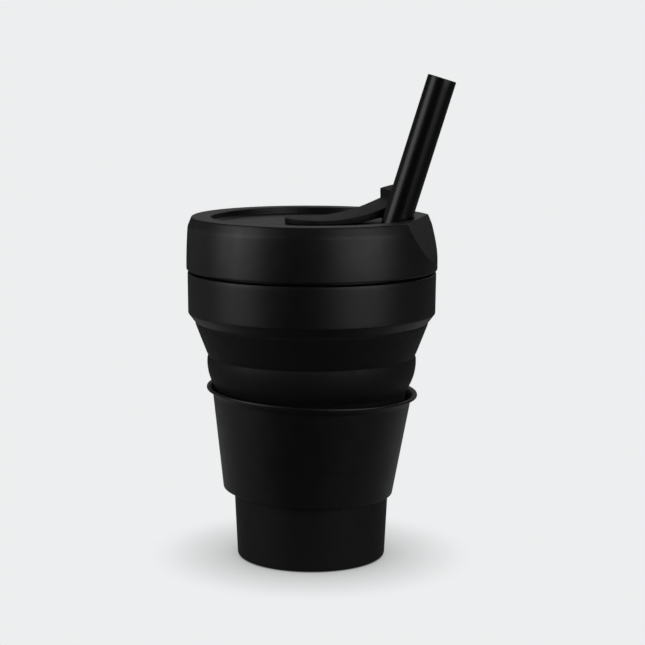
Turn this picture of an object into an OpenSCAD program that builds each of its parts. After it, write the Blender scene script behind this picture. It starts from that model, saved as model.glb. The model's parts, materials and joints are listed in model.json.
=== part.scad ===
// Collapsible travel cup: a silicone cup of nested tiers, held in a threaded
// collar, with a screw-on lid, a silicone stopper, a two-part straw and a sleeve.
// Millimetres, +Z up. The origin is the centre of the base, on the table.

/* [Cup] */
// Radius of the base where its side starts
base_r = 29.2; // [28.6:0.1:29.6]
// Radius at the top of the base tier
base_top_r = 30.5; // [30:0.1:30.6]
// Thickness of the rigid tiers
tier_wall = 2.2; // [1.8:0.1:2.4]
// Thickness of the base's floor
floor_t = 3; // [2.4:0.1:3.2]
// Thickness of the thin folds between the tiers
fold_wall = 1.3; // [1:0.1:1.6]
// Widest radius of the bead at the top of the middle tier
bead_r = 41; // [40.6:0.1:41]

/* [Sleeve] */
// Outer radius of the sleeve near its bottom
sleeve_bottom_r = 33.45; // [33.3:0.05:33.8]
// Outer radius of the sleeve below its lip
sleeve_top_r = 38.9; // [38.6:0.1:39.2]
// Outer radius of the sleeve's flared lip
sleeve_lip_r = 41.4; // [41:0.1:41.6]
// Thickness of the sleeve
sleeve_wall = 1.25; // [1:0.05:1.3]
// How far the sleeve sits askew, in degrees
sleeve_tilt = 2.2; // [0:0.1:2.2]

/* [Collar] */
// Outer radius of the collar
collar_r = 48.5; // [48:0.1:48.9]
// Height of the collar's lower edge
collar_z0 = 93.9; // [93.8:0.1:94.2]
// Height of the collar's shoulder
collar_z1 = 113.2; // [112.8:0.1:113.4]
// Rise of the lid in one turn
thread_lead = 6; // [5:0.5:6]

/* [Lid] */
// Outer radius of the lid at its lower edge
lid_r = 48.95; // [48.9:0.05:49.3]
// Height of the lid's lower edge
lid_z0 = 114.2; // [114:0.1:114.4]
// Height of the lid's rim
lid_z1 = 134.7; // [134.4:0.1:135]
// Radius of the recess in the lid's top
recess_r = 39.4; // [39:0.1:39.6]
// Depth of the recess
recess_depth = 2.8; // [2.5:0.1:3]
// Direction of the lip rest, in degrees from +X
lip_az = -14; // [-18:1:-10]
// Direction of the straw's hole, in degrees from +X
drink_az = -16; // [-18:1:-14]

/* [Straw] */
// Outer radius of the straw
straw_r = 5.6; // [5.3:0.1:5.6]
// Thickness of the straw's wall
straw_wall = 1; // [0.8:0.1:1]
// Lean of the straw from the vertical, in degrees
straw_tilt = 17; // [16.5:0.1:17.5]
// Direction of that lean, in degrees from +X
lean_az = -2; // [-6:1:2]
// Height of the straw's top end
straw_top_z = 188.2; // [150:0.1:200]

/* [Stopper] */
// Width of the stopper's strap
strap_w = 23; // [21:0.1:23]
// Thickness of the strap where it lies flat
strap_t = 2.1; // [1.8:0.1:2.2]
// Direction of the strap, in degrees from +X
strap_az = 15; // [14:1:20]
// Slope of the lifted flap, in degrees
flap_slope = 22; // [21:0.1:22]

/* [Hidden] */
$fn = 96;

SILICONE = [0.05, 0.05, 0.06];
PLASTIC = [0.08, 0.08, 0.075];

// Cup, from the table upwards
base_round = 1;
base_top_z = 27.4;
middle_z0 = 41.5;
middle_r0 = 33.3;
middle_waist_z = 62;
middle_waist_r = 37;
bead_z = 78;
bead_arc = 19.1;
middle_z1 = 80.3;
fold_groove_r = 40.75;
fold_flare_z = 82;
fold_flare_r = 41.25;
top_z0 = 93.7;
top_r = 45.7;
top_seat_r = 44.8;
top_inner_r = 42.6;
neck_seat_r = 43.4;
neck_inner_r = 41.6;
seal_z = 122.6;
seal_r = 44.9;

// Sleeve
sleeve_z0 = 26.1;
sleeve_lip_z = 63.4;
sleeve_z1 = 66.7;
sleeve_pivot_z = 61;

// Collar and thread
collar_wall_r = 44.9;
collar_foot_r = 45.8;
collar_chamfer_h = 3.7;
web_z = 110.8;
neck_r = 45;
neck_bore_r = 43.5;
neck_z1 = 121;
thread_starts = 2;
thread_h = 1.2;
thread_base_w = 1.3;
thread_crest_w = 0.7;
thread_embed = 0.35;
thread_ramp = 24;
thread_step = 8;
neck_thread_z = 115;
neck_thread_turn = 264;
lid_thread_z = 116.5;
lid_thread_turn = 240;

// Lid
lid_shoulder_r = 48.4;
lid_shoulder_z = 130.9;
shoulder_lean = 22.2;
rim_flat_r = 46.3;
rim_round = 0.8;
lid_bore_r = 46.6;
lid_bore_z = 121.5;
gasket_seat_r = 44.4;
gasket_seat_z = 124.6;
gasket_t = 1.8;
gasket_inner_r = 41.4;
cavity_r = 40.4;
cavity_z = 129.6;
recess_z = lid_z1 - recess_depth;
facet_d = 42.1;
facet_slope = 22;
hole_d = 32.9;
hole_r = 6.3;
hole_mid_z = (recess_z + cavity_z) / 2;
scallop_gap = 0.8;

// Stopper
anchor_hole_r = 3.1;
stem_r = 3;
flange_r = 5;
flange_t = 1.5;
pad_gap = 0.1;
pad_back = 10.65;
bend_d = 4;
bend_arc = 64;
flap_end_d = 39.9;
flap_grow = 1.3;
tab_d = 31.4;
tab_h = 3.4;
plug_r = 6;
plug_h = 2.9;
plug_rib_h = 0.7;
strap_mid_z = recess_z + pad_gap + strap_t / 2;
hinge_gap = 0.15;

// Straw
straw_foot_z = 7;
straw_split = 98;
spigot_h = 12;
spigot_gap = 0.05;
spigot_wall = 0.8;

// Points along an elliptic arc, from angle a0 to a1
function arc(cx, cy, rx, ry, a0, a1, n = 8) =
    [for (i = [0:n]) let (a = a0 + (a1 - a0) * i / n) [cx + rx * cos(a), cy + ry * sin(a)]];

// Radius of the base tier's side at height z
function base_side(z) = base_r + (base_top_r - base_r) * z / base_top_z;

// Outer radius of the sleeve's tapered side at height z
function sleeve_side(z) =
    sleeve_bottom_r + (sleeve_top_r - sleeve_bottom_r) * (z - sleeve_z0) / (sleeve_lip_z - sleeve_z0);

// Solid of revolution of an (r, z) outline
module turned(outline) {
    rotate_extrude()
        polygon(outline);
}

// Puts +X along a direction in plan
module toward(azimuth) {
    rotate([0, 0, azimuth])
        children();
}

// Straw axis: +Z runs up the straw from the middle of the lid's hole
module on_straw_axis() {
    toward(drink_az)
        translate([hole_d, 0, hole_mid_z])
            toward(lean_az - drink_az)
                rotate([0, straw_tilt, 0])
                    children();
}

// One ridge of a screw thread, from root_r to crest_r, swept along a helix
module thread_ridge(root_r, crest_r, z0, turn) {
    steps = ceil(turn / thread_step);
    rings = [for (i = [0:steps])
        let (a = turn * i / steps,
             z = z0 + thread_lead * a / 360,
             grow = min(1, min(a, turn - a) / thread_ramp),
             crest = root_r + (crest_r - root_r) * max(0.1, grow),
             section = [[root_r, -thread_base_w / 2], [crest, -thread_crest_w / 2],
                        [crest, thread_crest_w / 2], [root_r, thread_base_w / 2]])
        [for (p = section) [p[0] * cos(a), p[0] * sin(a), z + p[1]]]];
    inward = crest_r < root_r;
    side_faces = [for (i = [0:steps - 1], j = [0:3])
        let (a = 4 * i + j, b = 4 * i + (j + 1) % 4, c = b + 4, d = a + 4)
        each (inward ? [[a, c, b], [a, d, c]] : [[a, b, c], [a, c, d]])];
    last = 4 * steps;
    end_faces = inward ? [[0, 1, 2, 3], [last + 3, last + 2, last + 1, last]]
                       : [[0, 3, 2, 1], [last, last + 1, last + 2, last + 3]];
    polyhedron([for (ring = rings) each ring], concat(side_faces, end_faces));
}

module thread(root_r, crest_r, z0, turn) {
    for (k = [0:thread_starts - 1])
        rotate([0, 0, 360 * k / thread_starts])
            thread_ridge(root_r, crest_r, z0, turn);
}

// Base tier: rigid, closed at the bottom
module cup_base() {
    color(SILICONE) turned(concat(
        [[0, 0]],
        arc(base_side(base_round) - base_round, base_round, base_round, base_round, -90, 0, 6),
        [[base_top_r, base_top_z], [base_top_r - tier_wall, base_top_z]],
        arc(base_r - tier_wall - 3, floor_t + 3, 3, 3, 0, -90, 6),
        [[0, floor_t]]));
}

// Thin cone between the base tier and the middle tier
module cup_lower_fold() {
    color(SILICONE) turned([
        [base_top_r, base_top_z], [middle_r0 - 0.3, middle_z0 - 1], [middle_r0, middle_z0],
        [middle_r0 - fold_wall, middle_z0], [base_top_r - fold_wall, base_top_z]]);
}

// Middle tier: rigid, with a rounded bead at its top
module cup_middle() {
    bead_c = bead_r - bead_arc;
    inner_arc = bead_arc - tier_wall;
    low = -acos((middle_waist_r - bead_c) / bead_arc);
    low_in = -acos((middle_waist_r - tier_wall - bead_c) / inner_arc);
    high = asin((middle_z1 - bead_z) / bead_arc);
    high_in = asin((middle_z1 - bead_z) / inner_arc);
    color(SILICONE) turned(concat(
        [[middle_r0, middle_z0], [middle_waist_r, middle_waist_z]],
        arc(bead_c, bead_z, bead_arc, bead_arc, low, high, 10),
        arc(bead_c, bead_z, inner_arc, inner_arc, high_in, low_in, 10),
        [[middle_waist_r - tier_wall, middle_waist_z], [middle_r0 - tier_wall, middle_z0]]));
}

// Thin cone between the middle tier and the collar
module cup_upper_fold() {
    color(SILICONE) turned([
        [fold_groove_r, middle_z1], [fold_flare_r, fold_flare_z],
        [top_r - 0.1, top_z0 - 1.3], [top_r, top_z0], [top_r - fold_wall, top_z0],
        [fold_flare_r - fold_wall, fold_flare_z + 0.6], [fold_groove_r - fold_wall, middle_z1]]);
}

// Top tier inside the collar, with the sealing lip over the neck
module cup_top() {
    color(SILICONE) turned(concat(
        [[top_r, top_z0], [top_r, collar_z0 - 0.05], [top_seat_r, collar_z0],
         [top_seat_r, web_z - 0.1], [neck_seat_r, web_z - 0.1],
         [neck_seat_r, neck_z1 + 0.05], [seal_r, neck_z1 + 0.05]],
        arc(seal_r - 0.6, seal_z - 0.6, 0.6, 0.6, 0, 90, 4),
        arc(neck_inner_r + 0.6, seal_z - 0.6, 0.6, 0.6, 90, 180, 4),
        [[neck_inner_r, web_z - 1.8], [top_inner_r, web_z - 3.8], [top_inner_r, top_z0]]));
}

// Heat sleeve: a thin tapered band with a flared lip, sitting a little askew
module sleeve() {
    inner_foot = sleeve_side(sleeve_z0) - sleeve_wall;
    color(PLASTIC)
        translate([0, 0, sleeve_pivot_z])
            rotate([0, sleeve_tilt, 0])
                translate([0, 0, -sleeve_pivot_z])
                    turned(concat(
                        arc(inner_foot, sleeve_z0 + sleeve_wall, sleeve_wall, sleeve_wall, -90, 0, 5),
                        [[sleeve_top_r, sleeve_lip_z]],
                        arc(sleeve_top_r + 1.9, sleeve_lip_z + 0.2, 1.9, 1.9, 180, 100, 5),
                        arc(sleeve_lip_r - 0.6, sleeve_z1 - 0.6, 0.6, 0.6, -60, 90, 5),
                        arc(sleeve_top_r + 1.7, sleeve_lip_z + 0.1, 3.2, 3.2, 100, 180, 6),
                        [[sleeve_top_r - sleeve_wall, sleeve_lip_z - 1]]));
}

// Collar: the rigid ring that holds the cup's top and carries the lid's thread
module collar() {
    color(PLASTIC) {
        turned(concat(
            [[collar_wall_r, collar_z0], [collar_foot_r, collar_z0],
             [collar_r - 0.2, collar_z0 + collar_chamfer_h - 0.3],
             [collar_r, collar_z0 + collar_chamfer_h]],
            arc(collar_r - 0.5, collar_z1 - 0.5, 0.5, 0.5, 0, 90, 4),
            [[neck_r, collar_z1], [neck_r, neck_z1 - 0.5], [neck_r - 0.5, neck_z1],
             [neck_bore_r, neck_z1], [neck_bore_r, web_z], [collar_wall_r, web_z]]));
        thread(neck_r - thread_embed, neck_r + thread_h, neck_thread_z, neck_thread_turn);
    }
}

// Silicone ring that seals the lid against the cup's lip
module lid_gasket() {
    color(SILICONE) turned([
        [gasket_inner_r, gasket_seat_z - gasket_t], [gasket_seat_r - 0.1, gasket_seat_z - gasket_t],
        [gasket_seat_r - 0.1, gasket_seat_z], [gasket_inner_r, gasket_seat_z]]);
}

// Slanted plane that cuts the lip rest out of the drinking side
module lip_rest_cut() {
    size = 80;
    toward(lip_az)
        translate([facet_d, 0, lid_z1])
            rotate([0, -facet_slope, 0])
                translate([0, -size / 2, -size / 2])
                    cube(size);
}

// Lid: cap with a thread inside, a recessed top, a straw hole and a lip rest
module lid_shell() {
    color(PLASTIC) {
        difference() {
            turned(concat(
                [[0, cavity_z], [cavity_r, cavity_z], [cavity_r, gasket_seat_z],
                 [gasket_seat_r, gasket_seat_z], [gasket_seat_r, lid_bore_z + 2],
                 [lid_bore_r, lid_bore_z], [lid_bore_r, lid_z0]],
                arc(lid_r - 0.5, lid_z0 + 0.5, 0.5, 0.5, -90, 0, 4),
                [[lid_shoulder_r, lid_shoulder_z]],
                arc(rim_flat_r, lid_z1 - rim_round, rim_round, rim_round, shoulder_lean, 90, 6),
                arc(recess_r + 0.6, lid_z1 - 0.6, 0.5, 0.6, 90, 180, 4),
                arc(recess_r - 0.7, recess_z + 0.6, 0.6, 0.6, 0, -90, 4),
                [[0, recess_z]]));
            lip_rest_cut();
            toward(drink_az)
                translate([hole_d, 0, cavity_z - 1])
                    cylinder(h = recess_depth + 2, r = hole_r);
            on_straw_axis()
                cylinder(h = 12, r = straw_r + scallop_gap);
            translate([0, 0, cavity_z - 1])
                cylinder(h = recess_depth + 2, r = anchor_hole_r);
        }
        thread(lid_bore_r + thread_embed, lid_bore_r - thread_h, lid_thread_z, lid_thread_turn);
    }
}

// Fixed end of the stopper: a flat pad on a push-in button
module stopper_anchor() {
    pad_z = recess_z + pad_gap;
    end_c = pad_back - strap_w / 2;
    color(SILICONE) toward(strap_az) {
        translate([0, 0, pad_z])
            linear_extrude(strap_t)
                intersection() {
                    union() {
                        translate([-end_c, 0])
                            circle(r = strap_w / 2);
                        translate([-end_c, -strap_w / 2])
                            square([strap_w, strap_w]);
                    }
                    translate([-pad_back, -strap_w / 2])
                        square([pad_back + bend_d - strap_t / 2 - hinge_gap, strap_w]);
                }
        translate([0, 0, cavity_z - pad_gap - flange_t])
            cylinder(h = pad_z - cavity_z + pad_gap + flange_t, r = stem_r);
        translate([0, 0, cavity_z - pad_gap - flange_t])
            cylinder(h = flange_t, r = flange_r);
    }
}

// Point and half thickness of the flap at length s past the bend, in its own plane
bend_len = bend_arc * flap_slope * PI / 180;
flap_len = flap_end_d - bend_d;
function flap_angle(s) = min(s / bend_len, 1) * flap_slope;
function flap_mid(s) = [
    bend_d + bend_arc * sin(flap_angle(s)) + max(s - bend_len, 0) * cos(flap_slope),
    strap_mid_z + bend_arc * (1 - cos(flap_angle(s))) + max(s - bend_len, 0) * sin(flap_slope)];
function flap_half(s) = strap_t / 2 + flap_grow / 2 * min(s / (tab_d - bend_d), 1);
function flap_edge(s, side) =
    flap_mid(s) + side * flap_half(s) * [-sin(flap_angle(s)), cos(flap_angle(s))];

// Free end of the stopper: the lifted flap, its raised tab and the plug under it
module stopper_flap() {
    steps = 12;
    lengths = [for (i = [0:steps]) bend_len * i / steps];
    tab_s = bend_len + (tab_d - flap_mid(bend_len)[0]) / cos(flap_slope);
    plug_s = hole_d - bend_d;
    end_r = strap_w / 2;
    color(SILICONE) toward(strap_az) {
        intersection() {
            rotate([90, 0, 0])
                linear_extrude(strap_w, center = true)
                    polygon(concat(
                        arc(bend_d, strap_mid_z, strap_t / 2, strap_t / 2, 270, 90, 8),
                        [for (s = lengths) flap_edge(s, 1)],
                        [flap_edge(tab_s, 1), flap_edge(tab_s, 1) + [0.3, tab_h],
                         flap_edge(flap_len, 1) + tab_h * [-sin(flap_slope), cos(flap_slope)],
                         flap_edge(flap_len, -1)],
                        [for (i = [steps:-1:0]) flap_edge(lengths[i], -1)]));
            union() {
                translate([bend_d - strap_t, -strap_w / 2, recess_z])
                    cube([flap_mid(flap_len)[0] - end_r - bend_d + strap_t, strap_w, 30]);
                translate([flap_mid(flap_len)[0] - end_r, 0, recess_z])
                    cylinder(h = 30, r = end_r);
            }
        }
        translate([flap_mid(plug_s)[0], 0, flap_mid(plug_s)[1]])
            rotate([0, -flap_slope, 0])
                translate([0, 0, -flap_half(plug_s) - plug_h]) {
                    cylinder(h = plug_h + 1, r = plug_r - 0.2);
                    translate([0, 0, 0.6])
                        cylinder(h = plug_rib_h, r = plug_r);
                }
    }
}

straw_foot = (straw_foot_z - hole_mid_z) / cos(straw_tilt);
straw_end = (straw_top_z - hole_mid_z) / cos(straw_tilt);
straw_bore = straw_r - straw_wall;

// Tube along the straw's axis, between two lengths from the lid's hole
module tube(from, to, outer, inner) {
    translate([0, 0, from])
        difference() {
            cylinder(h = to - from, r = outer);
            translate([0, 0, -1])
                cylinder(h = to - from + 2, r = inner);
        }
}

// Lower half of the straw, with the spigot that plugs into the upper half
module straw_lower() {
    split = straw_foot + straw_split;
    color(PLASTIC) on_straw_axis() {
        tube(straw_foot, split, straw_r, straw_bore);
        tube(split - 4, split + spigot_h, straw_bore - spigot_gap, straw_bore - spigot_gap - spigot_wall);
        tube(split - 4, split - 1, straw_bore + 0.2, straw_bore - spigot_gap - spigot_wall);
    }
}

// Upper half of the straw
module straw_upper() {
    color(PLASTIC) on_straw_axis()
        tube(straw_foot + straw_split + 0.1, straw_end, straw_r, straw_bore);
}

cup_base();
cup_lower_fold();
cup_middle();
cup_upper_fold();
cup_top();
sleeve();
collar();
lid_gasket();
lid_shell();
stopper_anchor();
stopper_flap();
straw_lower();
straw_upper();
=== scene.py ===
"""Visual model of a collapsible travel cup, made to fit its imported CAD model.

The object's own lengths are in millimetres until its meshes are made. Materials and the stage use metres.
"""

import json
import math

import bmesh
import bpy
import numpy as np
from mathutils import Matrix, Vector


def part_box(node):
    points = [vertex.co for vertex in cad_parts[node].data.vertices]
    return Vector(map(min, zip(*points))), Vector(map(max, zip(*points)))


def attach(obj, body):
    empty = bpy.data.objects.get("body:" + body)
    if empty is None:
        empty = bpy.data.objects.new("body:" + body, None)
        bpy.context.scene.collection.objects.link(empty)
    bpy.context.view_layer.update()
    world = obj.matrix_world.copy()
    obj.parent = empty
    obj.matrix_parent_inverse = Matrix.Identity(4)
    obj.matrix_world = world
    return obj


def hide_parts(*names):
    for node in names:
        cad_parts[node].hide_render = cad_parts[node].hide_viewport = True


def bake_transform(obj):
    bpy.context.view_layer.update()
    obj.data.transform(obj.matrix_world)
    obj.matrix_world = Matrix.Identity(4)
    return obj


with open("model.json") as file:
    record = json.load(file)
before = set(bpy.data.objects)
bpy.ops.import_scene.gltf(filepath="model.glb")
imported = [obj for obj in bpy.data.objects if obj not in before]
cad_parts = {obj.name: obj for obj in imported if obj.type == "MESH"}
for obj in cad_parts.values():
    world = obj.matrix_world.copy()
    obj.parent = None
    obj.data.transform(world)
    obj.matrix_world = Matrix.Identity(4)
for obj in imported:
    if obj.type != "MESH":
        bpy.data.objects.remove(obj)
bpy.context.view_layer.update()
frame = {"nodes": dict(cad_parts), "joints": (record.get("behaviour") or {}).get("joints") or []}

MM = 0.001
SEGMENTS = 192  # columns round a turned piece
SMALL_SEGMENTS = 72  # columns round the straw, the plug and the button
CUT_SEGMENTS = 96  # columns round a cutter
STEP = 1.6  # longest straight run in an outline
SMOOTH_ANGLE = 38  # degrees, above which an edge stays sharp


def joint(name):
    return next(j for j in frame["joints"] if j["name"] == name)


def top(node):
    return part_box(node)[1].z / MM


def bottom(node):
    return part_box(node)[0].z / MM


# ---------------------------------------------------------------- sizes, from the frame where it has them
BASE_R = 29.2
BASE_TOP_R = 30.5
BASE_TOP_Z = top("cup_base")
TIER_WALL = 2.2
FLOOR_T = 3.0
FOLD_WALL = 1.3
MIDDLE_Z0 = bottom("cup_middle")
MIDDLE_R0 = 33.3
WAIST_R = 37.0
WAIST_Z = 62.0
SPLIT_Z = 58.0  # where the silicone's two visual pieces meet, behind the sleeve
BEAD_R = 41.0
BEAD_Z = 78.0
BEAD_ARC = 19.1
GROOVE_R = 40.75
CUP_TOP_Z0 = bottom("cup_top")
FLARE_R = 45.7
TOP_SEAT_R = 44.8
NECK_SEAT_R = 43.4
LIP_R = 44.9
LIP_BORE_R = 41.6
TOP_INNER_R = 42.6
SEAL_Z = top("cup_top")

COLLAR_Z0 = bottom("collar")
COLLAR_Z1 = 113.2
COLLAR_R = 48.5
COLLAR_BORE_R = 44.95
WEB_Z = 110.8
NECK_R = 45.0
NECK_BORE_R = 43.5
NECK_Z1 = top("collar")

THREAD_LEAD = 6.0
THREAD_H = 1.2
THREAD_EMBED = 0.3
THREAD_RAMP = 24  # degrees over which a ridge grows to its full height
THREAD_STEP = 4  # degrees between a ridge's sections
THREAD_ROOT_HALF = 0.65
THREAD_CREST_HALF = 0.35
THREAD_STARTS = (0, 180)
NECK_THREAD_Z = 115.0
NECK_THREAD_TURN = 264
LID_THREAD_Z = 116.5
LID_THREAD_TURN = 240

LID_Z0 = bottom("lid_shell")
LID_Z1 = top("lid_shell")
LID_R = 48.95
LID_SHOULDER_R = 48.4
LID_SHOULDER_Z = 130.9
RIM_EDGE_R = 46.85
RIM_R = 46.35
RECESS_R = 39.4
RECESS_Z = LID_Z1 - 2.8
CAVITY_R = 40.4
CAVITY_Z = 129.6
LID_BORE_R = 46.6
LID_BORE_Z = 121.5
GASKET_SEAT_R = 44.4
GASKET_SEAT_Z = 124.6
LIP_AZ = math.radians(-14)
LIP_HALF = 33  # degrees to each side of the lip rest where the lid has fine columns
FACET_D = 42.1
FACET_SLOPE = math.radians(22)
FACET_SOFT = 0.35
SKIN_R = 47.5  # below its shoulder, the lid's outer skin lies beyond this radius
DRINK_AZ = math.radians(-16)
HOLE_D = 32.9
HOLE_R = 6.3
HOLE_EDGE = 0.45
STRAW_GAP = 0.8
BUTTON_HOLE_R = 3.1

STRAW_AXIS = Vector(joint("straw_rise")["axis"]).normalized()
HOLE_MID = Vector((HOLE_D * math.cos(DRINK_AZ), HOLE_D * math.sin(DRINK_AZ), (RECESS_Z + CAVITY_Z) / 2))
STRAW_R = 5.6
STRAW_BORE = 4.6
STRAW_FOOT_Z = 7.0
STRAW_TOP_Z = 188.2
STRAW_SPLIT = 98.0
SPIGOT = 12.0

SLEEVE_TILT = math.radians(2.2)
SLEEVE_PIVOT_Z = 61.0

LIFT = joint("stopper_lift")
STRAP_AZ = math.atan2(LIFT["axis"][0], -LIFT["axis"][1])
STRAP_MID_Z = LIFT["pos_m"][2] / MM
BEND_D = math.hypot(*LIFT["pos_m"][:2]) / MM
STRAP_W = 23.0
STRAP_T = 2.1
STRAP_BACK = 10.65
FLAP_END_D = 39.9
FLAP_SLOPE = math.radians(22)
BEND_ARC = 64.0
FLAP_GROW = 1.3  # extra thickness at the tab, shared by both faces
FLAP_UNDER = 0.5  # and more of it on the lower face alone
STRAP_DOME = 0.35
STRAP_TOP_EDGE = 0.3
STRAP_UNDER_EDGE = 0.4
TAB_D = 31.4
TAB_H = 3.4
STEM_R = 3.0
FLANGE_R = 5.0


# ---------------------------------------------------------------- mesh tools
def arc(cx, cy, radius, a0, a1, n):
    """Points along an arc, angles in degrees."""
    angles = np.radians(np.linspace(a0, a1, n + 1))
    return [(cx + radius * math.cos(a), cy + radius * math.sin(a)) for a in angles]


def rounded(corners, step=STEP, n=6):
    """Closed outline through (r, z) or (r, z, fillet) corners, with arcs of n parts and no run over step."""
    points = []
    count = len(corners)
    for i, corner in enumerate(corners):
        here = np.array(corner[:2], float)
        fillet = corner[2] if len(corner) > 2 else 0.0
        before = np.array(corners[i - 1][:2], float) - here
        after = np.array(corners[(i + 1) % count][:2], float) - here
        la, lb = np.linalg.norm(before), np.linalg.norm(after)
        if fillet <= 0 or la < 1e-6 or lb < 1e-6:
            points.append(here)
            continue
        ua, ub = before / la, after / lb
        half = math.acos(max(-1.0, min(1.0, float(ua @ ub)))) / 2
        reach = min(fillet / math.tan(half), 0.48 * la, 0.48 * lb)
        radius = reach * math.tan(half)
        centre = here + (ua + ub) / np.linalg.norm(ua + ub) * radius / math.sin(half)
        start = here + ua * reach - centre
        end = here + ub * reach - centre
        sweep = math.acos(max(-1.0, min(1.0, float(start @ end) / radius**2)))
        turn = math.copysign(1, start[0] * end[1] - start[1] * end[0])
        for k in range(n + 1):
            a = turn * sweep * k / n
            points.append(centre + np.array([start[0] * math.cos(a) - start[1] * math.sin(a),
                                             start[0] * math.sin(a) + start[1] * math.cos(a)]))
    outline = []
    for i, p in enumerate(points):
        q = points[(i + 1) % len(points)]
        parts = max(1, math.ceil(np.linalg.norm(q - p) / step))
        on_axis = p[0] < 1e-6 and q[0] < 1e-6
        outline += [tuple(p + (q - p) * k / parts) for k in range(1 if on_axis else parts)]
    return outline


def new_object(name, bm, material, smooth_angle=SMOOTH_ANGLE):
    """Object from a bmesh in millimetres, smooth apart from edges sharper than smooth_angle."""
    bmesh.ops.remove_doubles(bm, verts=bm.verts, dist=0.004)
    bmesh.ops.recalc_face_normals(bm, faces=bm.faces)
    mesh = bpy.data.meshes.new(name)
    bm.to_mesh(mesh)
    bm.free()
    mesh.transform(Matrix.Scale(MM, 4))
    mesh.shade_smooth()
    mesh.set_sharp_from_angle(angle=math.radians(smooth_angle))
    mesh.materials.append(material)
    obj = bpy.data.objects.new(name, mesh)
    bpy.context.scene.collection.objects.link(obj)
    return obj


def columns(count):
    """Evenly spaced azimuths for the columns of a turned piece."""
    return np.linspace(0, 2 * math.pi, count, endpoint=False)


def turn(bm, outline, azimuths=columns(SEGMENTS)):
    """Adds the solid of revolution of a closed (r, z) outline, and returns its new vertices."""
    rings = []
    for r, z in outline:
        if r < 1e-6:
            rings.append([bm.verts.new((0, 0, z))])
        else:
            rings.append([bm.verts.new((r * math.cos(a), r * math.sin(a), z)) for a in azimuths])
    count = len(azimuths)
    for low, high in zip(rings, rings[1:] + rings[:1]):
        if len(low) == 1 and len(high) == 1:
            continue
        for i in range(count):
            j = (i + 1) % count
            if len(low) == 1:
                bm.faces.new((low[0], high[j], high[i]))
            elif len(high) == 1:
                bm.faces.new((low[i], low[j], high[0]))
            else:
                bm.faces.new((low[i], low[j], high[j], high[i]))
    return [v for ring in rings for v in ring]


def thread_ridge(bm, root_r, crest_r, z0, turn_deg, start_deg):
    """One ridge of a screw thread with tapered ends."""
    steps = round(turn_deg / THREAD_STEP)
    rings = []
    for i in range(steps + 1):
        a = turn_deg * i / steps
        grow = max(0.05, min(1, min(a, turn_deg - a) / THREAD_RAMP))
        crest = root_r + (crest_r - root_r) * grow
        z = z0 + THREAD_LEAD * a / 360
        c, s = math.cos(math.radians(a + start_deg)), math.sin(math.radians(a + start_deg))
        section = [(root_r, -THREAD_ROOT_HALF), (crest, -THREAD_CREST_HALF),
                   (crest, THREAD_CREST_HALF), (root_r, THREAD_ROOT_HALF)]
        rings.append([bm.verts.new((r * c, r * s, z + dz)) for r, dz in section])
    for low, high in zip(rings, rings[1:]):
        for i in range(4):
            j = (i + 1) % 4
            bm.faces.new((low[i], low[j], high[j], high[i]))
    bm.faces.new(rings[0])
    bm.faces.new(rings[-1])


def cut(obj, outline, place):
    """Cuts a turned shape out of obj. place moves the shape from the lid's axis, in millimetres."""
    bm = bmesh.new()
    turn(bm, outline, columns(CUT_SEGMENTS))
    bmesh.ops.transform(bm, matrix=place, verts=bm.verts)
    cutter = new_object("cutter", bm, obj.data.materials[0])
    modifier = obj.modifiers.new("cut", "BOOLEAN")
    modifier.operation = "DIFFERENCE"
    modifier.solver = "EXACT"
    modifier.object = cutter
    apply_modifiers(obj)
    bpy.data.objects.remove(cutter)


def apply_modifiers(obj):
    """Puts the result of obj's modifiers in its mesh."""
    bpy.context.view_layer.update()
    depsgraph = bpy.context.evaluated_depsgraph_get()
    mesh = bpy.data.meshes.new_from_object(obj.evaluated_get(depsgraph))
    obj.modifiers.clear()
    obj.data = mesh


# ---------------------------------------------------------------- materials
def new_material(name):
    """A material, with its node tree, its shader and the object's own coordinates."""
    material = bpy.data.materials.new(name)
    material.use_nodes = True
    tree = material.node_tree
    coords = tree.nodes.new("ShaderNodeTexCoord").outputs["Object"]
    return material, tree, tree.nodes.get("Principled BSDF"), coords


def noise(tree, coords, scale, detail=4.0):
    node = tree.nodes.new("ShaderNodeTexNoise")
    node.inputs["Scale"].default_value = scale
    node.inputs["Detail"].default_value = detail
    node.inputs["Roughness"].default_value = 0.55
    tree.links.new(coords, node.inputs["Vector"])
    return node.outputs["Fac"]


def remap(tree, value, low, high, to_low, to_high):
    node = tree.nodes.new("ShaderNodeMapRange")
    node.inputs["From Min"].default_value = low
    node.inputs["From Max"].default_value = high
    node.inputs["To Min"].default_value = to_low
    node.inputs["To Max"].default_value = to_high
    tree.links.new(value, node.inputs["Value"])
    return node.outputs["Result"]


def mix_colour(tree, factor, a, b):
    node = tree.nodes.new("ShaderNodeMix")
    node.data_type = "RGBA"
    tree.links.new(factor, node.inputs["Factor"])
    for socket, colour in ((node.inputs["A"], a), (node.inputs["B"], b)):
        if isinstance(colour, tuple):
            socket.default_value = (*colour, 1)
        else:
            tree.links.new(colour, socket)
    return node.outputs["Result"]


def cloudy(tree, coords, scale, dark, light):
    """Two colours that drift into each other."""
    return mix_colour(tree, remap(tree, noise(tree, coords, scale), 0.35, 0.7, 0, 1), dark, light)


def multiply(tree, a, b):
    node = tree.nodes.new("ShaderNodeMath")
    node.operation = "MULTIPLY"
    tree.links.new(a, node.inputs[0])
    tree.links.new(b, node.inputs[1])
    return node.outputs[0]


def bump(tree, height, distance, strength):
    node = tree.nodes.new("ShaderNodeBump")
    node.inputs["Strength"].default_value = strength
    node.inputs["Distance"].default_value = distance
    tree.links.new(height, node.inputs["Height"])
    return node.outputs["Normal"]


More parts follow.
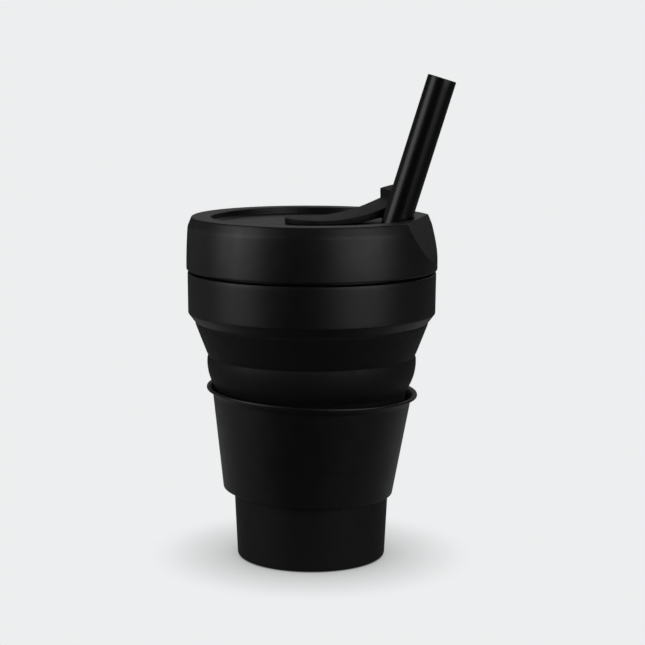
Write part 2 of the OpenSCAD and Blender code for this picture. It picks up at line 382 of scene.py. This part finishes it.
def dust(tree, coords, scale, size, share):
    """Mask of tiny round specks: a Voronoi cell's centre, in a share of the cells."""
    cells = tree.nodes.new("ShaderNodeTexVoronoi")
    cells.inputs["Scale"].default_value = scale
    tree.links.new(coords, cells.inputs["Vector"])
    speck = remap(tree, cells.outputs["Distance"], size, size * 0.5, 0, 1)
    separate = tree.nodes.new("ShaderNodeSeparateColor")
    tree.links.new(cells.outputs["Color"], separate.inputs["Color"])
    chosen = remap(tree, separate.outputs["Red"], share, share * 0.9, 0, 1)
    return multiply(tree, speck, chosen)


def silicone():
    """Matte black silicone: cool, soft, with a faint dusty bloom and a few specks."""
    material, tree, shader, coords = new_material("silicone")
    base = cloudy(tree, coords, 55, (0.0022, 0.0024, 0.0028), (0.0036, 0.0038, 0.0043))
    specks = dust(tree, coords, 480, 0.055, 0.16)
    tree.links.new(mix_colour(tree, specks, base, (0.16, 0.17, 0.18)), shader.inputs["Base Color"])
    tree.links.new(remap(tree, noise(tree, coords, 260), 0.3, 0.7, 0.6, 0.72), shader.inputs["Roughness"])
    grain = noise(tree, coords, 2600, 3)
    tree.links.new(bump(tree, grain, 0.00004, 0.35), shader.inputs["Normal"])
    shader.inputs["Specular IOR Level"].default_value = 0.32
    shader.inputs["Sheen Weight"].default_value = 0.015
    shader.inputs["Sheen Roughness"].default_value = 0.5
    return material


def plastic():
    """Satin black polypropylene with a fine spark-eroded grain and a few specks."""
    material, tree, shader, coords = new_material("plastic")
    base = cloudy(tree, coords, 30, (0.0026, 0.0026, 0.0024), (0.0038, 0.0037, 0.0034))
    specks = dust(tree, coords, 260, 0.03, 0.08)
    tree.links.new(mix_colour(tree, specks, base, (0.12, 0.12, 0.12)), shader.inputs["Base Color"])
    tree.links.new(remap(tree, noise(tree, coords, 180), 0.3, 0.7, 0.4, 0.47), shader.inputs["Roughness"])
    grain = noise(tree, coords, 3400, 2)
    tree.links.new(bump(tree, grain, 0.00003, 0.3), shader.inputs["Normal"])
    shader.inputs["Specular IOR Level"].default_value = 0.5
    return material


def straw_plastic():
    """Smoother black plastic, drawn lengthwise, so fine lines run along the straw."""
    material, tree, shader, coords = new_material("straw_plastic")
    stretch = tree.nodes.new("ShaderNodeMapping")
    tilt = math.acos(STRAW_AXIS.z)
    stretch.vector_type = "TEXTURE"
    stretch.inputs["Rotation"].default_value = (0, tilt, math.atan2(STRAW_AXIS.y, STRAW_AXIS.x))
    stretch.inputs["Scale"].default_value = (1, 1, 40)
    tree.links.new(coords, stretch.inputs["Vector"])
    lines = noise(tree, stretch.outputs["Vector"], 1400, 2)
    base = cloudy(tree, coords, 60, (0.0016, 0.0016, 0.0019), (0.0026, 0.0026, 0.003))
    tree.links.new(base, shader.inputs["Base Color"])
    tree.links.new(remap(tree, lines, 0.3, 0.7, 0.3, 0.34), shader.inputs["Roughness"])
    tree.links.new(bump(tree, lines, 0.00002, 0.08), shader.inputs["Normal"])
    shader.inputs["Specular IOR Level"].default_value = 0.4
    return material


SILICONE = silicone()
PLASTIC = plastic()
STRAW_PLASTIC = straw_plastic()


# ---------------------------------------------------------------- silicone cup
SPLIT_R = MIDDLE_R0 + (WAIST_R - MIDDLE_R0) * (SPLIT_Z - MIDDLE_Z0) / (WAIST_Z - MIDDLE_Z0)


def cup_lower():
    """Base tier with a shallow ring underneath, lower fold and the foot of the middle tier."""
    ring = 23.5
    outline = rounded([
        (0, 0), (ring - 1, 0, 0.6), (ring - 0.4, 0.5, 0.3), (ring + 0.4, 0.5, 0.3), (ring + 1, 0, 0.6),
        (BASE_R, 0, 1.0), (BASE_TOP_R, BASE_TOP_Z, 0.8), (MIDDLE_R0, MIDDLE_Z0, 2),
        (SPLIT_R, SPLIT_Z), (SPLIT_R - TIER_WALL, SPLIT_Z),
        (MIDDLE_R0 - TIER_WALL, MIDDLE_Z0, 0.8), (MIDDLE_R0 - FOLD_WALL, MIDDLE_Z0 - 0.5, 0.6),
        (BASE_TOP_R - FOLD_WALL, BASE_TOP_Z + 0.5, 0.6), (BASE_TOP_R - TIER_WALL, BASE_TOP_Z, 0.8),
        (BASE_R - TIER_WALL, FLOOR_T, 3), (0, FLOOR_T)])
    bm = bmesh.new()
    turn(bm, outline)
    piece = new_object("silicone_cup_lower", bm, SILICONE)
    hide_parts("cup_base", "cup_lower_fold")
    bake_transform(piece)


def cup_upper():
    """The rest of the middle tier with its bead, the upper fold and the top tier with the sealing lip."""
    centre = BEAD_R - BEAD_ARC
    low = -math.degrees(math.acos((WAIST_R - centre) / BEAD_ARC))
    low_in = -math.degrees(math.acos((WAIST_R - TIER_WALL - centre) / (BEAD_ARC - TIER_WALL)))
    bead = arc(centre, BEAD_Z, BEAD_ARC, low, 3, 14)
    inner = arc(centre, BEAD_Z, BEAD_ARC - TIER_WALL, 3, low_in, 14)
    outline = rounded(
        [(SPLIT_R, SPLIT_Z), (WAIST_R, WAIST_Z)] + bead
        + [(BEAD_R - 0.12, 79.6, 0.3), (GROOVE_R - 0.25, 80.35, 0.5), (41.2, 81.7, 0.8),
           (43.5, 87.6, 6), (FLARE_R - 0.25, 92.7, 1.2), (FLARE_R, CUP_TOP_Z0 + 0.1, 0.15),
           (TOP_SEAT_R, COLLAR_Z0 + 0.1, 0.05), (TOP_SEAT_R, WEB_Z - 0.2, 0.4),
           (NECK_SEAT_R, WEB_Z - 0.1, 0.2), (NECK_SEAT_R, NECK_Z1 + 0.1, 0.1),
           (LIP_R, NECK_Z1 + 0.1, 0.3), (LIP_R, SEAL_Z, 0.7),
           (LIP_BORE_R, SEAL_Z, 0.7), (LIP_BORE_R, 109, 1), (TOP_INNER_R, 107, 1), (TOP_INNER_R, 95, 1.0),
           (44.2, 93.0, 0.8), (42.4, 88.4, 4), (40.0, 82.4, 1), (39.0, 80.6, 1)]
        + inner
        + [(WAIST_R - TIER_WALL, WAIST_Z), (SPLIT_R - TIER_WALL, SPLIT_Z)])
    bm = bmesh.new()
    turn(bm, outline)
    piece = new_object("silicone_cup_upper", bm, SILICONE)
    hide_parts("cup_middle", "cup_upper_fold", "cup_top")
    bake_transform(piece)


# ---------------------------------------------------------------- sleeve, collar and lid
def sleeve():
    """Thin tapered band with a rounded foot and a flared lip, sitting a little askew."""
    foot_z, lip_z = 26.1, 63.4
    foot_r, top_r, lip_r = 33.45, 38.9, 41.45
    wall = 1.25
    outline = rounded([
        (foot_r - wall, foot_z, 0.25), (foot_r, foot_z, 1.2), (top_r, lip_z, 2.0),
        (39.6, 65.2, 1.6), (lip_r, 65.5, 0.45), (lip_r, 66.75, 0.55), (39.3, 66.6, 2.0),
        (38.1, 64.4, 2.0), (top_r - wall, lip_z - 1, 2)], step=1.2, n=8)
    bm = bmesh.new()
    turn(bm, outline)
    pivot = Matrix.Translation((0, 0, SLEEVE_PIVOT_Z))
    place = pivot @ Matrix.Rotation(SLEEVE_TILT, 4, "Y") @ pivot.inverted()
    bmesh.ops.transform(bm, matrix=place, verts=bm.verts)
    piece = new_object("heat_sleeve", bm, PLASTIC)
    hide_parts("sleeve")
    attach(piece, "sleeve")


def collar():
    """Collar with a chamfered foot, a soft top edge and the neck's two-start thread."""
    outline = rounded([
        (COLLAR_BORE_R, COLLAR_Z0, 0.2), (45.8, COLLAR_Z0, 0.25), (COLLAR_R - 0.15, 97.3, 0.9),
        (COLLAR_R, COLLAR_Z1, 0.55), (NECK_R, COLLAR_Z1, 0.4), (NECK_R, NECK_Z1, 0.5),
        (NECK_BORE_R, NECK_Z1, 0.2), (NECK_BORE_R, WEB_Z, 0.2), (COLLAR_BORE_R, WEB_Z, 0.2)])
    bm = bmesh.new()
    turn(bm, outline)
    root_r, crest_r = NECK_R - THREAD_EMBED, NECK_R + THREAD_H
    for start in THREAD_STARTS:
        thread_ridge(bm, root_r, crest_r, NECK_THREAD_Z, NECK_THREAD_TURN, start)
    piece = new_object("collar_ring", bm, PLASTIC)
    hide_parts("collar")
    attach(piece, "collar")


def add_inner_thread(piece):
    """Gives the lid's skirt the two ridges that run between the neck's."""
    bm = bmesh.new()
    root_r, crest_r = LID_BORE_R + THREAD_EMBED, LID_BORE_R - THREAD_H
    for start in THREAD_STARTS:
        thread_ridge(bm, root_r, crest_r, LID_THREAD_Z, LID_THREAD_TURN, start)
    bmesh.ops.recalc_face_normals(bm, faces=bm.faces)
    bmesh.ops.scale(bm, vec=(MM, MM, MM), verts=bm.verts)
    bm.from_mesh(piece.data)
    bm.to_mesh(piece.data)
    bm.free()


def soft_min(a, b, softness):
    """The smaller of a and b, with the corner between them rounded."""
    h = max(softness - abs(a - b), 0.0) / softness
    return min(a, b) - h * h * softness / 4


def lip_rest(verts):
    """Pares the lid's wall back to the slanted plane of the lip rest."""
    edge_r = RECESS_R + 0.6
    least_across = 0.6  # the plane stays outside the lid further round
    for v in verts:
        r = math.hypot(v.co.x, v.co.y)
        across = math.cos(math.atan2(v.co.y, v.co.x) - LIP_AZ)
        if across < least_across or r < edge_r:
            continue
        limit = (FACET_D + math.tan(FACET_SLOPE) * (LID_Z1 - v.co.z)) / across
        if v.co.z > LID_Z1 - 0.001 and r <= RIM_R + 0.01:
            share = (r - edge_r) / (RIM_R - edge_r)
            new_r = edge_r + share * (soft_min(RIM_R, limit, FACET_SOFT) - edge_r)
        elif r > SKIN_R or v.co.z > LID_SHOULDER_Z:
            new_r = soft_min(r, limit, FACET_SOFT)
        else:
            continue
        v.co.x *= new_r / r
        v.co.y *= new_r / r


def lid():
    """Lid: soft shoulder, recessed top, lip rest, straw hole and the thread inside."""
    edge = math.degrees(LIP_AZ)
    fine = np.arange(edge - LIP_HALF, edge + LIP_HALF, 0.4)
    coarse = np.arange(edge + LIP_HALF, edge + 360 - LIP_HALF, 1.9)
    azimuths = np.radians(np.concatenate([fine, coarse]))
    belly = [(LID_R - (LID_R - LID_SHOULDER_R) * k**2, LID_Z0 + 1 + (LID_SHOULDER_Z - LID_Z0 - 1) * k)
             for k in np.linspace(0, 1, 9)[1:-1]]
    outline = rounded(
        [(LID_R, LID_Z0, 0.5)] + belly
        + [(LID_SHOULDER_R, LID_SHOULDER_Z, 5), (RIM_EDGE_R, LID_Z1, 0.75), (RECESS_R, LID_Z1, 0.7),
           (RECESS_R - 0.15, RECESS_Z, 0.6), (BUTTON_HOLE_R, RECESS_Z), (BUTTON_HOLE_R, CAVITY_Z),
           (CAVITY_R, CAVITY_Z, 0.5), (CAVITY_R, GASKET_SEAT_Z, 0.2), (GASKET_SEAT_R, GASKET_SEAT_Z, 0.2),
           (GASKET_SEAT_R, GASKET_SEAT_Z - 1.1, 0.5), (LID_BORE_R, LID_BORE_Z, 0.5),
           (LID_BORE_R, LID_Z0, 0.3)],
        step=0.8)
    bm = bmesh.new()
    verts = turn(bm, outline, azimuths)
    lip_rest(verts)
    piece = new_object("lid_cap", bm, PLASTIC)
    hole = [(0, CAVITY_Z - 3), (HOLE_R, CAVITY_Z - 3), (HOLE_R, RECESS_Z - HOLE_EDGE + 0.1),
            (HOLE_R + HOLE_EDGE, RECESS_Z + 0.1), (HOLE_R + HOLE_EDGE, RECESS_Z + 0.6), (0, RECESS_Z + 0.6)]
    cut(piece, hole, Matrix.Translation((HOLE_MID.x, HOLE_MID.y, 0)))
    scallop = [(0, 0.6), (STRAW_R + STRAW_GAP, 0.6), (STRAW_R + STRAW_GAP, 12), (0, 12)]
    cut(piece, scallop, straw_place())
    add_inner_thread(piece)
    piece.data.shade_smooth()
    piece.data.set_sharp_from_angle(angle=math.radians(SMOOTH_ANGLE))
    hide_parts("lid_shell")
    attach(piece, "lid")


# ---------------------------------------------------------------- straw
def straw_place():
    """Puts +Z up the straw from the middle of the lid's hole."""
    return Matrix.Translation(HOLE_MID) @ STRAW_AXIS.to_track_quat("Z", "X").to_matrix().to_4x4()


def straw():
    """The straw's two halves; the lower one has a spigot that plugs into the upper."""
    foot = (STRAW_FOOT_Z - HOLE_MID.z) / STRAW_AXIS.z
    split = foot + STRAW_SPLIT
    end = (STRAW_TOP_Z - HOLE_MID.z) / STRAW_AXIS.z
    bore, lip = STRAW_BORE, 0.35
    spigot_r = bore - 0.05
    spigot_in = spigot_r - 0.8
    lower = rounded([
        (bore, foot, lip), (STRAW_R, foot, lip), (STRAW_R, split, 0.25), (spigot_r, split, 0.1),
        (spigot_r, split + SPIGOT, 0.3), (spigot_in, split + SPIGOT, 0.3), (spigot_in, split - 4, 0.3),
        (bore, split - 5, 0.3)], step=3)
    upper = rounded([
        (bore, split + 0.1, 0.25), (STRAW_R, split + 0.1, 0.25),
        (STRAW_R, end, lip), (bore, end, lip)], step=3)
    for name, outline in (("straw_lower", lower), ("straw_upper", upper)):
        bm = bmesh.new()
        turn(bm, outline, columns(SMALL_SEGMENTS))
        bmesh.ops.transform(bm, matrix=straw_place(), verts=bm.verts)
        piece = new_object(name + "_tube", bm, STRAW_PLASTIC)
        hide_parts(name)
        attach(piece, name)


# ---------------------------------------------------------------- stopper
def strap_path(s):
    """Middle line of the strap: distance from the lid's axis, height and slope at length s past the bend."""
    bend = BEND_ARC * FLAP_SLOPE
    slope = max(0.0, min(s / bend, 1.0)) * FLAP_SLOPE
    straight = max(s - bend, 0.0)
    d = BEND_D + min(s, 0.0) + BEND_ARC * math.sin(slope) + straight * math.cos(FLAP_SLOPE)
    z = STRAP_MID_Z + BEND_ARC * (1 - math.cos(slope)) + straight * math.sin(FLAP_SLOPE)
    return d, z, slope


def edge_drop(distance, radius):
    """How far a rounded edge falls below the face, at a distance in from the outline."""
    inside = min(distance, radius)
    return radius - math.sqrt(max(radius**2 - (radius - inside)**2, 0.0))


def partly_eased(t):
    """A ramp from 0 to 1 that is a little softer at both ends than t."""
    return 0.6 * t + 0.4 * (t * t * (3 - 2 * t))


def stopper():
    """One silicone moulding: domed strap, finger tab, plug and the button in the lid."""
    half = STRAP_W / 2
    start, end = -STRAP_BACK - BEND_D, FLAP_END_D - BEND_D
    bend = BEND_ARC * FLAP_SLOPE
    tab_s = bend + (TAB_D - strap_path(bend)[0]) / math.cos(FLAP_SLOPE)
    nose = half * (1 - np.cos(np.linspace(0, math.pi / 2, 18)))
    straight = np.linspace(start + half, end - half, 56)
    at_tab = tab_s + np.linspace(-0.3, 2.1, 21)
    stations = np.unique(np.round(np.concatenate([start + nose, straight, at_tab, end - nose]), 4))
    across = np.sin(np.linspace(-math.pi / 2, math.pi / 2, 41))

    def past_round(s):
        """How far s lies beyond the centre of the nearer rounded end."""
        return min(s - start - half, 0) + max(s - end + half, 0)

    def point(s, v, side):
        d, z, slope = strap_path(s)
        inward = half - math.hypot(v, past_round(s))
        along = max(0.0, min(s / tab_s, 1))
        thick = STRAP_T / 2 + FLAP_GROW / 2 * along
        if side > 0:
            rise = partly_eased(max(0.0, min((s - tab_s) / (TAB_H * math.tan(FLAP_SLOPE)), 1)))
            thick += TAB_H * rise - edge_drop(inward, STRAP_TOP_EDGE)
            thick -= STRAP_DOME * (1 - rise) * (v / half)**2
        else:
            thick += FLAP_UNDER * along**2 - edge_drop(inward, STRAP_UNDER_EDGE)
        h = side * thick
        flat = Vector((d - h * math.sin(slope), v, z + h * math.cos(slope)))
        return Matrix.Rotation(STRAP_AZ, 3, "Z") @ flat

    bm = bmesh.new()
    grids = []
    for side in (1, -1):
        rows = []
        for s in stations:
            reach = math.sqrt(max(half**2 - past_round(s)**2, 0.0))
            rows.append([bm.verts.new(point(s, v * max(reach, 0.02), side)) for v in across])
        for a, b in zip(rows, rows[1:]):
            for i in range(len(across) - 1):
                bm.faces.new((a[i], a[i + 1], b[i + 1], b[i]))
        grids.append(rows)
    upper, lower = grids
    for edge in (0, -1):
        for k in range(len(stations) - 1):
            bm.faces.new((upper[k][edge], upper[k + 1][edge], lower[k + 1][edge], lower[k][edge]))
    for row in (0, -1):
        for i in range(len(across) - 1):
            bm.faces.new((upper[row][i], upper[row][i + 1], lower[row][i + 1], lower[row][i]))

    d, z, slope = strap_path(HOLE_D - BEND_D)
    place = (Matrix.Rotation(STRAP_AZ, 4, "Z") @ Matrix.Translation((d, 0, z))
             @ Matrix.Rotation(-slope, 4, "Y"))
    plug = rounded([(0, -3.3), (3.4, -3.3, 0.4), (3.9, -4.6, 0.3), (5.4, -4.6, 0.3), (5.7, -4.1, 0.2),
                    (6.0, -3.7, 0.25), (5.8, -3.2, 0.2), (5.8, -1.2), (0, -1.2)], step=1)
    for v in turn(bm, plug, columns(SMALL_SEGMENTS)):
        v.co = place @ v.co
    in_pad = STRAP_MID_Z - STRAP_T / 2 + 0.3
    button = rounded([(0, in_pad), (STEM_R, in_pad), (STEM_R, CAVITY_Z - 0.1, 0.1),
                      (FLANGE_R, CAVITY_Z - 0.1, 0.2), (FLANGE_R, CAVITY_Z - 1.0, 0.3),
                      (3.2, CAVITY_Z - 1.6, 0.3), (0, CAVITY_Z - 1.6)], step=1)
    turn(bm, button, columns(SMALL_SEGMENTS))

    piece = new_object("stopper_strap", bm, SILICONE, 50)
    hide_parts("stopper_anchor", "stopper_flap")
    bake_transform(piece)


def gasket():
    """The gasket keeps its CAD shape and gets the silicone material."""
    node = frame["nodes"]["lid_gasket"]
    node.data.materials.clear()
    node.data.materials.append(SILICONE)


cup_lower()
cup_upper()
sleeve()
collar()
lid()
straw()
stopper()
gasket()


# ---------------------------------------------------------------- stage: floor, light and camera
PALE = 0.862
PALE_TINT = (0.985, 0.992, 1.0, 1)
MIRRORED_SKY = 0.022  # the backdrop's strength in reflections
SHADOW_REACH = 0.037
SHADOW_SHARE = 0.12  # of the floor's brightness, where the shadow is darkest
FLOOR_HALF = 6000  # in millimetres, because new_object makes the floor too
FLOOR_DROP = 0.0002  # keeps the floor just under the base


def floor_and_world():
    """Pale floor and backdrop with a soft contact shadow.

    The object mirrors them dimmer than the camera sees them, and the floor dimmest in front and far away.
    """
    world = bpy.data.worlds.new("studio")
    bpy.context.scene.world = world
    world.use_nodes = True
    tree = world.node_tree
    sky = tree.nodes["Background"]
    path = tree.nodes.new("ShaderNodeLightPath")
    strength = remap(tree, path.outputs["Is Camera Ray"], 0, 1, MIRRORED_SKY, PALE)
    tree.links.new(strength, sky.inputs["Strength"])
    sky.inputs["Color"].default_value = PALE_TINT

    material, tree, shader, coords = new_material("pale_floor")
    shader.inputs["Base Color"].default_value = (0, 0, 0, 1)
    shader.inputs["Roughness"].default_value = 1.0
    shader.inputs["Specular IOR Level"].default_value = 0.0
    shader.inputs["Emission Color"].default_value = PALE_TINT
    shade = tree.nodes.new("ShaderNodeAmbientOcclusion")
    shade.samples = 24
    shade.inputs["Distance"].default_value = SHADOW_REACH
    seen = remap(tree, shade.outputs["AO"], 0, 1, SHADOW_SHARE * PALE, PALE)
    path = tree.nodes.new("ShaderNodeLightPath")
    separate = tree.nodes.new("ShaderNodeSeparateXYZ")
    tree.links.new(coords, separate.inputs["Vector"])
    behind = remap(tree, separate.outputs["Y"], -0.08, 0.06, 0.02, 0.26)
    reach = tree.nodes.new("ShaderNodeVectorMath")
    reach.operation = "LENGTH"
    tree.links.new(coords, reach.inputs[0])
    mirrored = multiply(tree, behind, remap(tree, reach.outputs["Value"], 0.16, 0.5, 1, 0.25))
    strength = tree.nodes.new("ShaderNodeMix")
    tree.links.new(mirrored, strength.inputs["A"])
    tree.links.new(path.outputs["Is Camera Ray"], strength.inputs["Factor"])
    tree.links.new(seen, strength.inputs["B"])
    tree.links.new(strength.outputs["Result"], shader.inputs["Emission Strength"])

    bm = bmesh.new()
    bmesh.ops.create_grid(bm, x_segments=1, y_segments=1, size=FLOOR_HALF)
    floor = new_object("floor", bm, material)
    floor.location.z = -FLOOR_DROP


def softbox(name, azimuth, elevation, distance, width, height, power):
    """Area light that faces the cup. Azimuth 0 is the camera's side, positive to its right."""
    light = bpy.data.lights.new(name, "AREA")
    light.shape = "RECTANGLE"
    light.size, light.size_y = width, height
    light.energy = power
    obj = bpy.data.objects.new(name, light)
    bpy.context.scene.collection.objects.link(obj)
    a, e = math.radians(azimuth), math.radians(elevation)
    aim = Vector((0, 0, 0.08))
    towards = Vector((math.sin(a) * math.cos(e), -math.cos(a) * math.cos(e), math.sin(e)))
    obj.location = aim + distance * towards
    obj.rotation_euler = (aim - obj.location).to_track_quat("-Z", "Y").to_euler()
    obj.visible_camera = False


def camera():
    """The photograph's view: 700 mm away, a little above the straw's end, looking slightly down."""
    pan, dip, roll = -0.345, 8.671, 0.25  # degrees
    data = bpy.data.cameras.new("camera")
    data.sensor_width = 36
    data.lens = 100.7
    data.clip_start = 0.01
    data.clip_end = 50
    obj = bpy.data.objects.new("camera", data)
    bpy.context.scene.collection.objects.link(obj)
    obj.location = (0, -0.7, 0.1995)
    look = Matrix.Rotation(math.radians(pan), 4, "Z") @ Matrix.Rotation(math.radians(90 - dip), 4, "X")
    obj.rotation_euler = (look @ Matrix.Rotation(math.radians(roll), 4, "Z")).to_euler()
    bpy.context.scene.camera = obj


floor_and_world()
softbox("key_left", -70, 12, 1.1, 0.7, 1.05, 5.1)
softbox("key_right", 47, 12, 1.1, 0.9, 1.05, 5.3)
softbox("side_left", -125, 4, 1.2, 0.5, 0.5, 0.15)
softbox("backdrop", -173, 25, 1.5, 1.2, 0.8, 0.78)
softbox("rear_right", 145, 30, 1.3, 0.8, 0.8, 1.0)
softbox("top", 180, 64, 1.0, 0.8, 0.8, 0.9)
camera()
bpy.context.scene.view_settings.view_transform = "Standard"
